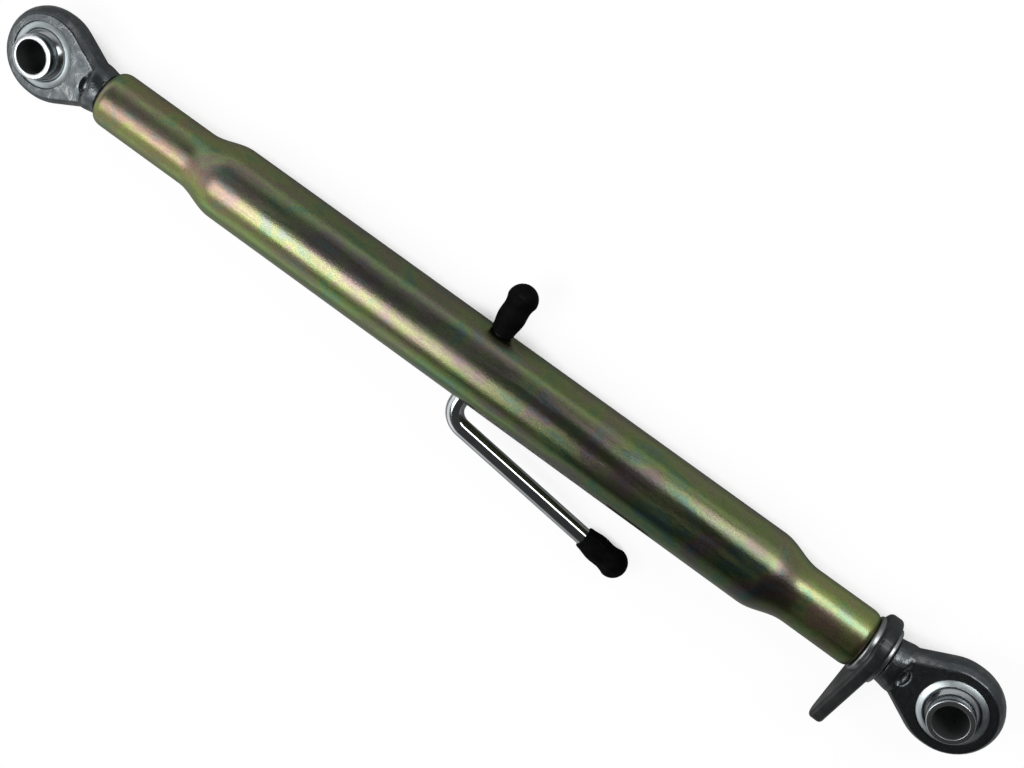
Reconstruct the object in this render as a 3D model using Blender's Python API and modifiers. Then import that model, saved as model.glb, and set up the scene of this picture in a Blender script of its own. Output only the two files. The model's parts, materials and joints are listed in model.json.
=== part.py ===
# Tractor top link: a swaged turnbuckle barrel with a ball end on a threaded bar at each end,
# a lock nut with its lever at the implement end and a swing handle through the middle.
# X runs from the tractor end to the implement end, Z is parallel to the two ball bores.
import math

import bmesh
import bpy
from mathutils import Matrix, Vector

# Barrel
BARREL_LENGTH = 0.6805      # rim to rim
TUBE_RADIUS = 0.030
TUBE_WALL = 0.005
NECK_RADIUS = 0.0225
TRACTOR_NECK = 0.082        # straight neck behind the tractor rim
IMPLEMENT_NECK = 0.054      # straight neck behind the implement rim
TAPER_LENGTH = 0.034        # swaged run from neck to tube
RIM_ROUND = 0.0036          # how far the rim's lip is rounded in, and along
RIM_RUN = 0.007
MOUTH_CHAMFER = 0.001

# Threaded bars
THREAD_RADIUS = 0.018       # M36
THREAD_GAP = 0.0003         # between a bar and the bore that it runs in
SCREW_LENGTH = 0.230        # from the eye's end face to the inner tip
SCREW_CHAMFER = 0.002
SPIGOT_RADIUS = 0.011
SPIGOT_LENGTH = 0.010
FIT_GAP = 0.0003            # between two pieces that are fixed together

# Forged eyes
EYE_RADIUS = 0.0355         # at the parting line, half way up
EYE_WIDTH = 0.023
EYE_DRAFT = 0.0043          # how much the ring draws in towards its faces
EYE_REACH = 0.0555          # from the ball's centre to the end face of the shank
SHANK_RADIUS = 0.0175
EYE_STRETCH = 0.003         # the ring's front half lies this much nearer the shank
NOSE_RADIUS = 0.0209        # small end of the cheek that runs into the shank
NOSE_SETBACK = 0.0005       # shank's end face to that small end
SCOOP_RADIUS = 0.0046       # hollow where the cheek meets the shank
SCOOP_STRETCH = 1.7         # across the link, as a multiple of that radius
SCOOP_SETBACK = 0.0148      # shank's end face to its centre
SCOOP_DEPTH = 0.0030
TRACTOR_EYE_GAP = 0.002     # eye's end face to the tractor rim when the link is closed
IMPLEMENT_EYE_GAP = 0.0012  # eye's end face to the lock nut

# Balls and their races
RACE_RADIUS = 0.0249
RACE_HALF_WIDTH = 0.011     # at its rim
RACE_LIP = 0.0012           # how far its mouth stands out beyond the rim
RACE_CHAMFER = 0.0008
BALL_RADIUS = 0.0226
BALL_GAP = 0.0003           # running gap between ball and race
COLLAR_RADIUS = 0.01675
BALL_WIDTH = 0.051
BORE_RADIUS = 0.01275       # category 2 pin of 25.4 mm
BALL_CHAMFER = 0.0009

# Lock nut and lever
NUT_RADIUS = 0.0225
NUT_LENGTH = 0.018
NUT_CHAMFER = 0.0015
NUT_GAP = 0.0003            # nut to the implement rim
LEVER_HUB_RADIUS = 0.0278
LEVER_TIP_RADIUS = 0.0074
LEVER_REACH = 0.0712        # link's axis to the centre of the tip's round
LEVER_THICKNESS = 0.011
LEVER_SETBACK = 0.004       # implement rim to the lever's near face
LEVER_BEVEL = 0.003
LEVER_DROP = math.radians(8)

# Swing handle
HANDLE_X = 0.346            # from the tractor rim
BAR_RADIUS = 0.007
BAR_GAP = 0.0003
STUB_LENGTH = 0.031         # link's axis to the base of the short grip
BEND_START = 0.0362         # link's axis to the start of the bend
BEND_RADIUS = 0.0157
BEND_ANGLE = math.radians(80.3)
LEG_LENGTH = 0.1215         # end of the bend to the base of the long grip
GRIP_LENGTH = 0.0407
GRIP_RADIUS = 0.0117        # head of the grip
GRIP_DEPTH = 0.033          # how far the bar reaches into a grip

# Fineness
MERGE = 0.00001
OVERRUN = 0.002             # how far cutters run past what they cut
BARREL_SIDES = 36           # one of them lies flat on the ground
BALL_SIDES = 32
EYE_SIDES = 48
NUT_SIDES = 36
GRIP_SIDES = 28
BAR_BEVEL_STEPS = 6

# Outline of a grip: place along its length, radius as a share of the head's
GRIP_SHARES = (
    (0.00, 0.73), (0.02, 0.76), (0.11, 0.79), (0.22, 0.875), (0.33, 0.915),
    (0.45, 0.885), (0.54, 0.865), (0.62, 0.905), (0.68, 0.97),
)
# Flank of a ring: height as a share of the half width, inset as a share of the draft
FLANK_SHARES = ((0.22, 0.00), (0.565, 0.28), (0.96, 0.93), (1.00, 1.07))
# Run of a shank: place along it, growth of its height and of its width, squareness
SHANK_SHARES = (
    (0.00, 0.00, 0.00, 3.2), (0.24, 0.12, 0.05, 3.0), (0.40, 0.36, 0.10, 2.8),
    (0.50, 0.68, 0.16, 2.6), (0.60, 0.90, 0.24, 2.4), (0.70, 0.98, 0.36, 2.2),
    (0.84, 1.00, 0.62, 2.0), (1.00, 1.00, 1.00, 2.0),
)
SHANK_START_SHARE = 0.80    # of the eye's radius
SHANK_LOW_SHARE = 0.42      # height at the ring, of the shank's radius
SHANK_WIDE_SHARE = 1.12     # width at the ring, of the shank's radius


def clear_scene():
    for obj in list(bpy.data.objects):
        bpy.data.objects.remove(obj, do_unlink=True)


def new_collection(name):
    collection = bpy.data.collections.new(name)
    bpy.context.scene.collection.children.link(collection)
    return collection


def new_material(name, colour, roughness, metallic):
    material = bpy.data.materials.new(name)
    material.use_nodes = True
    shader = material.node_tree.nodes["Principled BSDF"]
    shader.inputs["Base Color"].default_value = (*colour, 1)
    shader.inputs["Roughness"].default_value = roughness
    shader.inputs["Metallic"].default_value = metallic
    material.diffuse_color = (*colour, 1)
    return material


clear_scene()
LINK = new_collection("tractor_top_link")
CUTTERS = new_collection("cutters")


def new_empty(name, location, rotation=(0, 0, 0), parent=None):
    empty = bpy.data.objects.new(name, None)
    empty.location = location
    empty.rotation_euler = rotation
    empty.parent = parent
    empty.empty_display_size = TUBE_RADIUS
    LINK.objects.link(empty)
    return empty


def new_part(name, mesh, material, parent, location=(0, 0, 0), rotation=(0, 0, 0)):
    obj = bpy.data.objects.new(name, mesh)
    obj.location = location
    obj.rotation_euler = rotation
    obj.parent = parent
    mesh.materials.clear()
    mesh.materials.append(material)
    LINK.objects.link(obj)
    return obj


def profile_mesh(name, profile, closed):
    """Open or closed line of (radius, height) points in the XZ plane."""
    edges = [(i, i + 1) for i in range(len(profile) - 1)]
    if closed:
        edges.append((len(profile) - 1, 0))
    mesh = bpy.data.meshes.new(name)
    mesh.from_pydata([(radius, 0, height) for radius, height in profile], edges, [])
    return mesh


def turn(obj, sides):
    screw = obj.modifiers.new("Turn", "SCREW")
    screw.axis = "Z"
    screw.steps = screw.render_steps = sides
    screw.use_merge_vertices = True
    screw.merge_threshold = MERGE
    screw.use_smooth_shade = True
    return obj


def arc(centre, radius, start, end, steps, run=None):
    """Points of an arc, its angles in degrees, both ends included; run makes it an ellipse."""
    run = radius if run is None else run
    points = []
    for i in range(steps + 1):
        angle = math.radians(start + (end - start) * i / steps)
        points.append((centre[0] + radius * math.cos(angle), centre[1] + run * math.sin(angle)))
    return points


def swage(start, end, steps):
    """Soft S from one (radius, height) to another, without its two ends."""
    points = []
    for i in range(1, steps):
        share = i / steps
        ease = (1 - math.cos(math.pi * share)) / 2
        points.append((start[0] + (end[0] - start[0]) * ease, start[1] + (end[1] - start[1]) * share))
    return points


def as_cutter(obj):
    for collection in list(obj.users_collection):
        collection.objects.unlink(obj)
    CUTTERS.objects.link(obj)
    obj.hide_render = True
    obj.display_type = "WIRE"
    return obj


def cylinder_cutter(name, radius, depth, sides, parent, location=(0, 0, 0), rotation=(0, 0, 0)):
    bpy.ops.mesh.primitive_cylinder_add(vertices=sides, radius=radius, depth=depth)
    cutter = bpy.context.object
    cutter.name = name
    cutter.parent = parent
    cutter.location = location
    cutter.rotation_euler = rotation
    return as_cutter(cutter)


def combine(obj, other, operation):
    boolean = obj.modifiers.new(operation.title(), "BOOLEAN")
    boolean.operation = operation
    boolean.solver = "EXACT"
    boolean.object = other


def bevel_edges(obj, width, segments):
    bevel = obj.modifiers.new("Bevel", "BEVEL")
    bevel.width = width
    bevel.segments = segments
    bevel.limit_method = "ANGLE"
    bevel.angle_limit = math.radians(50)
    return bevel


def outline_plate(name, outline, thickness, holes=()):
    """Flat plate from a closed outline, centred on its own mid-plane, as a mesh."""
    curve = bpy.data.curves.new(name, "CURVE")
    curve.dimensions = "2D"
    curve.fill_mode = "BOTH"
    curve.extrude = thickness / 2
    for ring in (outline, *holes):
        spline = curve.splines.new("POLY")
        spline.points.add(len(ring) - 1)
        for point, (x, y) in zip(spline.points, ring):
            point.co = (x, y, 0, 1)
        spline.use_cyclic_u = True
    flat = bpy.data.objects.new(name, curve)
    bpy.context.scene.collection.objects.link(flat)
    mesh = bpy.data.meshes.new_from_object(flat.evaluated_get(bpy.context.evaluated_depsgraph_get()))
    bm = bmesh.new()
    bm.from_mesh(mesh)
    bmesh.ops.remove_doubles(bm, verts=bm.verts, dist=MERGE)
    bmesh.ops.recalc_face_normals(bm, faces=bm.faces)
    bm.to_mesh(mesh)
    bm.free()
    bpy.data.objects.remove(flat)
    return mesh


def teardrop(big_radius, small_radius, reach, big_steps, small_steps, stretch=0):
    """Outline of two rounds joined by their common tangents, the small one at +X.

    A stretch moves the big round's +X half towards the small one."""
    lean = math.degrees(math.acos((big_radius - small_radius) / (reach - stretch)))
    small = arc((reach, 0), small_radius, -lean, lean, small_steps)
    if not stretch:
        return arc((0, 0), big_radius, lean, 360 - lean, big_steps) + small
    side_steps = big_steps // 8
    upper = arc((stretch, 0), big_radius, lean, 90, side_steps)
    back = arc((0, 0), big_radius, 90, 270, big_steps * 3 // 4)
    lower = arc((stretch, 0), big_radius, 270, 360 - lean, side_steps)
    return upper + back + lower + small


def loft(name, rings):
    """Closed solid through rings of equally many points."""
    bm = bmesh.new()
    rows = [[bm.verts.new(point) for point in ring] for ring in rings]
    count = len(rows[0])
    for low, high in zip(rows, rows[1:]):
        for i in range(count):
            j = (i + 1) % count
            bm.faces.new((low[i], low[j], high[j], high[i]))
    bm.faces.new(list(reversed(rows[0])))
    bm.faces.new(rows[-1])
    bmesh.ops.recalc_face_normals(bm, faces=bm.faces)
    mesh = bpy.data.meshes.new(name)
    bm.to_mesh(mesh)
    bm.free()
    return mesh


def build_barrel(parent, material):
    length = BARREL_LENGTH
    bore = THREAD_RADIUS + THREAD_GAP
    hollow = TUBE_RADIUS - TUBE_WALL
    low_taper = (NECK_RADIUS, TRACTOR_NECK), (TUBE_RADIUS, TRACTOR_NECK + TAPER_LENGTH)
    high_end = length - IMPLEMENT_NECK
    high_taper = (TUBE_RADIUS, high_end - TAPER_LENGTH), (NECK_RADIUS, high_end)
    rim = NECK_RADIUS - RIM_ROUND
    outer = arc((rim, length - RIM_RUN), RIM_ROUND, 90, 0, 4, RIM_RUN)
    outer += [high_taper[1], *swage(high_taper[1], high_taper[0], 6), high_taper[0]]
    outer += [low_taper[1], *swage(low_taper[1], low_taper[0], 6), low_taper[0]]
    outer += arc((rim, RIM_RUN), RIM_ROUND, 0, -90, 4, RIM_RUN)
    inner_low = (bore, TRACTOR_NECK), (hollow, TRACTOR_NECK + TAPER_LENGTH)
    inner_high = (hollow, high_end - TAPER_LENGTH), (bore, high_end)
    inner = [(bore, MOUTH_CHAMFER / 2), inner_low[0], *swage(*inner_low, 3), inner_low[1]]
    inner += [inner_high[0], *swage(*inner_high, 3), inner_high[1], (bore, length - MOUTH_CHAMFER / 2)]
    mesh = profile_mesh("barrel_tube", outer + inner, True)
    lying = Matrix.Rotation(math.pi / BARREL_SIDES, 3, "X") @ Matrix.Rotation(math.pi / 2, 3, "Y")
    barrel = new_part("barrel_tube", mesh, material, parent, rotation=lying.to_euler())
    turn(barrel, BARREL_SIDES)
    hole = cylinder_cutter("cut_handle_hole", BAR_RADIUS + BAR_GAP, 2 * (TUBE_RADIUS + OVERRUN), 24,
                           parent, (HANDLE_X, 0, 0), (math.pi / 2, 0, 0))
    combine(barrel, hole, "DIFFERENCE")
    return barrel


def shank_rings():
    """Sections of the shank, flat and wide in the ring and round at the end face."""
    start = EYE_RADIUS * SHANK_START_SHARE
    rings = []
    for place, rise, narrow, power in SHANK_SHARES:
        x = start + (EYE_REACH - start) * place
        height = SHANK_RADIUS * (SHANK_LOW_SHARE + (1 - SHANK_LOW_SHARE) * rise)
        width = SHANK_RADIUS * (SHANK_WIDE_SHARE + (1 - SHANK_WIDE_SHARE) * narrow)
        ring = []
        for i in range(EYE_SIDES * 2 // 3):
            angle = 2 * math.pi * i / (EYE_SIDES * 2 // 3)
            c, s = math.cos(angle), math.sin(angle)
            y = width * math.copysign(abs(c) ** (2 / power), c)
            z = height * math.copysign(abs(s) ** (2 / power), s)
            ring.append((x, y, z))
        rings.append(ring)
    return rings


def flank_rings():
    """Outlines of the forged ring from its lower face to its upper, widest at the parting line."""
    levels = [(-place, inset) for place, inset in reversed(FLANK_SHARES)] + list(FLANK_SHARES)
    nose = EYE_REACH - NOSE_SETBACK - NOSE_RADIUS
    rings = []
    for place, inset in levels:
        shrink = EYE_DRAFT * inset
        outline = teardrop(EYE_RADIUS - shrink, NOSE_RADIUS - shrink, nose,
                           EYE_SIDES * 2 // 3, 6, EYE_STRETCH)
        rings.append([(x, y, EYE_WIDTH / 2 * place) for x, y in outline])
    return rings


def build_eye(name, parent, material):
    eye = new_part(name, loft(name, flank_rings()), material, parent)
    shank = new_part(f"{name}_shank_form", loft(f"{name}_shank_form", shank_rings()), material, parent)
    as_cutter(shank)
    combine(eye, shank, "UNION")
    for side in (1, -1):
        bpy.ops.mesh.primitive_uv_sphere_add(segments=20, ring_count=12, radius=SCOOP_RADIUS)
        scoop = as_cutter(bpy.context.object)
        scoop.name = f"cut_{name}_scoop_{'upper' if side > 0 else 'lower'}"
        scoop.parent = parent
        scoop.scale = (1, SCOOP_STRETCH, 1)
        scoop.location = (EYE_REACH - SCOOP_SETBACK, 0, side * (EYE_WIDTH / 2 - SCOOP_DEPTH + SCOOP_RADIUS))
        combine(eye, scoop, "DIFFERENCE")
    bore = cylinder_cutter(f"cut_{name}_bore", RACE_RADIUS + FIT_GAP, EYE_WIDTH + 2 * OVERRUN,
                           EYE_SIDES, parent)
    combine(eye, bore, "DIFFERENCE")
    depth = SPIGOT_LENGTH + FIT_GAP
    socket = cylinder_cutter(f"cut_{name}_socket", SPIGOT_RADIUS + FIT_GAP, depth + OVERRUN, 24, parent,
                             (EYE_REACH - depth / 2 + OVERRUN / 2, 0, 0), (0, math.pi / 2, 0))
    combine(eye, socket, "DIFFERENCE")
    return eye


def build_screw(name, parent, material):
    tip = SCREW_LENGTH
    root = FIT_GAP
    profile = [
        (0, tip), (THREAD_RADIUS - SCREW_CHAMFER, tip), (THREAD_RADIUS, tip - SCREW_CHAMFER),
        (THREAD_RADIUS, root), (SPIGOT_RADIUS, root), (SPIGOT_RADIUS, -SPIGOT_LENGTH), (0, -SPIGOT_LENGTH),
    ]
    screw = new_part(name, profile_mesh(name, profile, False), material, parent,
                     (EYE_REACH, 0, 0), (0, math.pi / 2, 0))
    return turn(screw, NUT_SIDES)


def build_race(name, parent, material, upper):
    """Half of the split race, from the ball's mid-plane to the eye's face."""
    seat = BALL_RADIUS + BALL_GAP
    split = FIT_GAP / 2
    rim = RACE_HALF_WIDTH
    top = rim + RACE_LIP
    mouth = math.sqrt(seat ** 2 - (top - RACE_CHAMFER) ** 2)
    low = math.degrees(math.asin(split / seat))
    high = math.degrees(math.asin((top - RACE_CHAMFER) / seat))
    profile = [(mouth + RACE_CHAMFER, top), (RACE_RADIUS - RACE_CHAMFER, rim)]
    profile += [(RACE_RADIUS, rim - RACE_CHAMFER), (RACE_RADIUS, split)]
    profile += arc((0, 0), seat, low, high, 5)
    race = new_part(name, profile_mesh(name, profile, True), material, parent,
                    rotation=(0 if upper else math.pi, 0, 0))
    return turn(race, BALL_SIDES)


def build_ball(name, parent, material):
    half = BALL_WIDTH / 2
    shoulder = math.degrees(math.acos(COLLAR_RADIUS / BALL_RADIUS))
    outer = [(COLLAR_RADIUS - BALL_CHAMFER, half), (COLLAR_RADIUS, half - BALL_CHAMFER)]
    outer += arc((0, 0), BALL_RADIUS, shoulder, -shoulder, 10)
    outer += [(COLLAR_RADIUS, BALL_CHAMFER - half), (COLLAR_RADIUS - BALL_CHAMFER, -half)]
    inner = [(BORE_RADIUS + BALL_CHAMFER, -half), (BORE_RADIUS, BALL_CHAMFER - half)]
    inner += [(BORE_RADIUS, half - BALL_CHAMFER), (BORE_RADIUS + BALL_CHAMFER, half)]
    ball = new_part(name, profile_mesh(name, outer + inner, True), material, parent)
    return turn(ball, BALL_SIDES)


def build_end(side, centre_x, heading, parent, steels):
    """One ball end: its empty slides along the link, the ball's turns in the race."""
    forged, threaded, machined, polished = steels
    end = new_empty(f"{side}_end", (centre_x, 0, 0), (0, 0, heading), parent)
    build_eye(f"{side}_eye", end, forged)
    build_screw(f"{side}_screw", end, threaded)
    build_race(f"{side}_race_upper", end, machined, True)
    build_race(f"{side}_race_lower", end, machined, False)
    pivot = new_empty(f"{side}_ball_pivot", (0, 0, 0), parent=end)
    build_ball(f"{side}_ball", pivot, polished)


def build_lock(parent, nut_material, lever_material):
    axis = new_empty("lock_axis", (BARREL_LENGTH, 0, 0), (0, math.pi / 2, 0), parent)
    low, high = NUT_GAP, NUT_GAP + NUT_LENGTH
    bore = THREAD_RADIUS + THREAD_GAP
    profile = [
        (bore, high), (NUT_RADIUS - NUT_CHAMFER, high), (NUT_RADIUS, high - NUT_CHAMFER),
        (NUT_RADIUS, low + NUT_CHAMFER), (NUT_RADIUS - NUT_CHAMFER, low), (bore, low),
    ]
    nut = new_part("lock_nut", profile_mesh("lock_nut", profile, True), nut_material, axis)
    turn(nut, NUT_SIDES)
    outline = teardrop(LEVER_HUB_RADIUS, LEVER_TIP_RADIUS, LEVER_REACH, 26, 8)
    hole = arc((0, 0), NUT_RADIUS + FIT_GAP, 0, 360, NUT_SIDES)[:-1]
    plate = outline_plate("lock_lever", outline, LEVER_THICKNESS, (hole,))
    lever = new_part("lock_lever", plate, lever_material, axis, (0, 0, LEVER_SETBACK + LEVER_THICKNESS / 2),
                     (0, 0, LEVER_DROP - math.pi / 2))
    bevel_edges(lever, LEVER_BEVEL, 2)
    return axis


def rest_swing():
    """Angle that lowers the long leg until the head of its grip reaches the ground under the tube."""
    ground = TUBE_RADIUS * math.cos(math.pi / BARREL_SIDES)
    run = LEG_LENGTH + GRIP_LENGTH - GRIP_RADIUS
    reach = BEND_RADIUS * (1 - math.cos(BEND_ANGLE)) + run * math.sin(BEND_ANGLE)
    return math.asin((ground - GRIP_RADIUS) / reach)


def grip_profile():
    """From the tip down the outside to the base, then up the socket for the bar."""
    head = GRIP_LENGTH - GRIP_RADIUS
    outside = arc((0, head), GRIP_RADIUS, 90, 0, 6)
    outside[0] = (0, GRIP_LENGTH)
    for place, share in reversed(GRIP_SHARES):
        outside.append((GRIP_RADIUS * share, GRIP_LENGTH * place))
    bore = BAR_RADIUS + FIT_GAP
    return outside + [(bore, 0), (bore, GRIP_DEPTH + FIT_GAP), (0, GRIP_DEPTH + FIT_GAP)]


def build_handle(parent, bar_material, grip_material):
    pivot = new_empty("handle_pivot", (HANDLE_X, 0, 0), (0, rest_swing(), 0), parent)
    path = [(0, STUB_LENGTH + GRIP_DEPTH), (0, 0), (0, -BEND_START)]
    centre = (BEND_RADIUS, -BEND_START)
    bend = arc(centre, BEND_RADIUS, 180, 180 + math.degrees(BEND_ANGLE), 8)
    path += bend[1:]
    heading = Vector((math.sin(BEND_ANGLE), -math.cos(BEND_ANGLE), 0))
    bend_end = Vector((*bend[-1], 0))
    grip_base = bend_end + heading * LEG_LENGTH
    bar_end = grip_base + heading * GRIP_DEPTH
    path.append((bar_end.x, bar_end.y))
    curve = bpy.data.curves.new("handle_bar", "CURVE")
    curve.dimensions = "3D"
    curve.bevel_depth = BAR_RADIUS
    curve.bevel_resolution = BAR_BEVEL_STEPS
    curve.use_fill_caps = True
    spline = curve.splines.new("POLY")
    spline.points.add(len(path) - 1)
    for point, (x, y) in zip(spline.points, path):
        point.co = (x, y, 0, 1)
    bar = new_part("handle_bar", curve, bar_material, pivot)
    weld = bar.modifiers.new("Weld", "WELD")
    weld.merge_threshold = MERGE
    places = (
        ("short_grip", Vector((0, STUB_LENGTH, 0)), Vector((0, 1, 0))),
        ("long_grip", grip_base, heading),
    )
    for name, base, direction in places:
        mesh = profile_mesh(name, grip_profile(), False)
        grip = new_part(name, mesh, grip_material, pivot, base)
        grip.rotation_euler = direction.to_track_quat("Z", "Y").to_euler()
        turn(grip, GRIP_SIDES)
    return pivot


def stand_on_origin(root):
    """Moves the link so that the bottom centre of its bounding box is the origin."""
    bpy.context.view_layer.update()
    depsgraph = bpy.context.evaluated_depsgraph_get()
    points = []
    for obj in LINK.objects:
        if obj.type == "EMPTY":
            continue
        evaluated = obj.evaluated_get(depsgraph)
        points += [evaluated.matrix_world @ vertex.co for vertex in evaluated.to_mesh().vertices]
    low = [min(point[axis] for point in points) for axis in range(3)]
    high = [max(point[axis] for point in points) for axis in range(3)]
    root.location = (-(low[0] + high[0]) / 2, -(low[1] + high[1]) / 2, -low[2])


def main():
    yellow_zinc = new_material("yellow_zinc", (0.42, 0.43, 0.26), 0.32, 0.9)
    forged_zinc = new_material("forged_zinc", (0.22, 0.23, 0.24), 0.38, 0.9)
    bright_zinc = new_material("bright_zinc", (0.55, 0.56, 0.57), 0.25, 1.0)
    machined = new_material("machined_steel", (0.45, 0.44, 0.42), 0.28, 1.0)
    polished = new_material("polished_steel", (0.62, 0.62, 0.62), 0.12, 1.0)
    black_iron = new_material("black_iron", (0.06, 0.065, 0.07), 0.45, 0.8)
    chrome = new_material("chrome_bar", (0.72, 0.73, 0.74), 0.14, 1.0)
    rubber = new_material("black_rubber", (0.022, 0.022, 0.023), 0.62, 0.0)
    root = new_empty("link_root", (0, 0, 0))
    build_barrel(root, yellow_zinc)
    steels = (forged_zinc, bright_zinc, machined, polished)
    build_end("tractor", -EYE_REACH - TRACTOR_EYE_GAP, 0, root, steels)
    far_face = BARREL_LENGTH + NUT_GAP + NUT_LENGTH + IMPLEMENT_EYE_GAP
    build_end("implement", far_face + EYE_REACH, math.pi, root, steels)
    build_lock(root, bright_zinc, black_iron)
    build_handle(root, chrome, rubber)
    stand_on_origin(root)


main()
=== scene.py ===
# %% [markdown]
# # A tractor top link
# The link holds the upper point of an implement behind a tractor. A steel barrel with opposite
# threads at its two ends is turned to draw two ball ends together or push them apart. This
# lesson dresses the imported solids: every turned piece is spun again with fine steps, the forged
# eyes are smoothed, the threads are cut, and each finish is a procedural material.

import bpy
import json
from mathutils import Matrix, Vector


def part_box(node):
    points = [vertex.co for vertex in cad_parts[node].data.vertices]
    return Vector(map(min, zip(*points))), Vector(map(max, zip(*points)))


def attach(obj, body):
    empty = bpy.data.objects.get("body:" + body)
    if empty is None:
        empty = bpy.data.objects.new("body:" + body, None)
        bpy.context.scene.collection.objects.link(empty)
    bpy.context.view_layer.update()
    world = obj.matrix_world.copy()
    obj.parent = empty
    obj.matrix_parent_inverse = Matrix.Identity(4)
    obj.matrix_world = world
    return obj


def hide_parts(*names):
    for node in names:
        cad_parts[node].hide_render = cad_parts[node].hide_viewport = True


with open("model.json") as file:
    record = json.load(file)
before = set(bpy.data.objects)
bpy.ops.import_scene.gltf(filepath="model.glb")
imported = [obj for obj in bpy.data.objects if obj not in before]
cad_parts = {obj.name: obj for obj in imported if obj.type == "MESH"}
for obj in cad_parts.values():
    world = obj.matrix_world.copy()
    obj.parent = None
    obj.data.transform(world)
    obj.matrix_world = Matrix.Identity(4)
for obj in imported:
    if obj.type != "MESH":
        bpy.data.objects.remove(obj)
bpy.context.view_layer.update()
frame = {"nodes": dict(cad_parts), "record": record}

# %% [markdown]
# ## Where things are
# Positions are measured from the solids, so that the looks follow them. Only sizes that a
# bounding box can't give, such as the radius of a bore, are written down as numbers.

# %% Centres and the body of every piece
import json
import math

import bmesh
import bpy
from mathutils import Matrix, Vector

X, Y, Z = Vector((1, 0, 0)), Vector((0, 1, 0)), Vector((0, 0, 1))
body_of_node = {}
for body, nodes in frame["record"]["behaviour"]["bodies"].items():
    for node_name in nodes:
        body_of_node[node_name] = body


def middle(node_name):
    low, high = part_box(node_name)
    return (Vector(low) + Vector(high)) / 2


ball_centre = {side: middle(f"{side}_ball") for side in ("tractor", "implement")}
rim_low, rim_high = (Vector(corner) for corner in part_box("barrel_tube"))
AXIS = Vector((0, ball_centre["tractor"].y, ball_centre["tractor"].z))
barrel_length = rim_high.x - rim_low.x
print("barrel", round(barrel_length, 4), "pin to pin",
      round((ball_centre["implement"] - ball_centre["tractor"]).x, 4))

# %% [markdown]
# ## Camera
# The photograph looks down on the lying link from its right, with the link running from the
# top left of the frame to the bottom right. The camera's place and turn come from fitting the
# rims, the ball and the handle to the picture.

# %% Camera in the photograph's place
camera_data = bpy.data.cameras.new("camera")
camera_data.sensor_width = 36
camera_data.lens = 55.27
camera_data.clip_start = 0.01
camera = bpy.data.objects.new("camera", camera_data)
right = Vector((0.80574606, 0.49503743, -0.32513264))
up = Vector((-0.58229561, 0.76242692, -0.2822003))
back = Vector((0.10819016, 0.41670509, 0.90258061))
camera_place = Vector((rim_low.x, AXIS.y, AXIS.z)) + Vector((0.49541, 0.47572, 1.02651))
camera_turn = Matrix((right, up, back)).transposed().to_4x4()
camera.matrix_world = Matrix.Translation(camera_place) @ camera_turn
bpy.context.scene.collection.objects.link(camera)
bpy.context.scene.camera = camera
print("camera at", [round(v, 3) for v in camera_place])

# %% [markdown]
# ## Floor and light
# A white sheet lies under the link. The room walls show in the flanks of the metal and the dark
# ceiling in its upper side. Two soft boxes make the long highlights: one over the tractor half
# and one beyond the implement end. In reflections the sheet is dimmer than to the camera, so
# that the undersides stay dark.

# %% White floor that keeps the shadow
bpy.context.scene.view_settings.view_transform = "Standard"


def add_node(tree, kind, inputs=None, **settings):
    """One shader node: settings are its properties, inputs are numbers or other sockets."""
    made = tree.nodes.new(kind)
    for key, value in settings.items():
        setattr(made, key, value)
    for key, value in (inputs or {}).items():
        if isinstance(value, bpy.types.NodeSocket):
            tree.links.new(value, made.inputs[key])
        else:
            made.inputs[key].default_value = value
    return made


sheet = bpy.data.materials.new("white_floor")
sheet.use_nodes = True
tree = sheet.node_tree
tree.nodes.clear()
paths = add_node(tree, "ShaderNodeLightPath")
seen = add_node(tree, "ShaderNodeMath", {0: paths.outputs["Is Glossy Ray"],
                                         1: paths.outputs["Is Transmission Ray"]}, operation="MAXIMUM")
# How far the sheet looks for shade, the range of openness, and the glow where it is most open. The glow fades
# where ambient occlusion finds the link close by, which paints shade onto the sheet near the link and in its
# bores.
TO_CAMERA = (0.05, 0.12, 0.32, 0.87)
IN_REFLECTIONS = (0.16, 0.30, 0.95, 0.22)
shares = []
for rays, (reach, low, high, most) in ((paths.outputs["Is Camera Ray"], TO_CAMERA),
                                       (seen.outputs[0], IN_REFLECTIONS)):
    sky = add_node(tree, "ShaderNodeAmbientOcclusion", {"Distance": reach}, samples=8)
    openness = add_node(tree, "ShaderNodeMapRange", {"Value": sky.outputs["AO"], "From Min": low, "From Max": high,
                                                     "To Min": 0.0, "To Max": most})
    shares.append(add_node(tree, "ShaderNodeMath", {0: rays, 1: openness.outputs["Result"]}, operation="MULTIPLY"))
share = add_node(tree, "ShaderNodeMath", {0: shares[0].outputs[0], 1: shares[1].outputs[0]}, operation="MAXIMUM")
PAPER_TONE, PAPER_TONE_REFLECTED, GLOW = (0.8, 0.8, 0.8, 1), (0.2, 0.2, 0.2, 1), 1.07
tone = add_node(tree, "ShaderNodeMix", {0: seen.outputs[0], 6: PAPER_TONE, 7: PAPER_TONE_REFLECTED},
                data_type="RGBA")
paper = add_node(tree, "ShaderNodeBsdfDiffuse", {"Color": tone.outputs[2]})
glow = add_node(tree, "ShaderNodeEmission", {"Color": (1, 1, 1, 1), "Strength": GLOW})
blend = add_node(tree, "ShaderNodeMixShader", {0: share.outputs[0], 1: paper.outputs[0], 2: glow.outputs[0]})
add_node(tree, "ShaderNodeOutputMaterial", {"Surface": blend.outputs[0]})
HALF_SHEET = 7
bm = bmesh.new()
bmesh.ops.create_grid(bm, x_segments=1, y_segments=1, size=HALF_SHEET)
floor_mesh = bpy.data.meshes.new("floor")
bm.to_mesh(floor_mesh)
bm.free()
floor_mesh.materials.append(sheet)
floor = bpy.data.objects.new("floor", floor_mesh)
bpy.context.scene.collection.objects.link(floor)
print("floor", [round(v, 1) for v in floor.dimensions])

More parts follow.
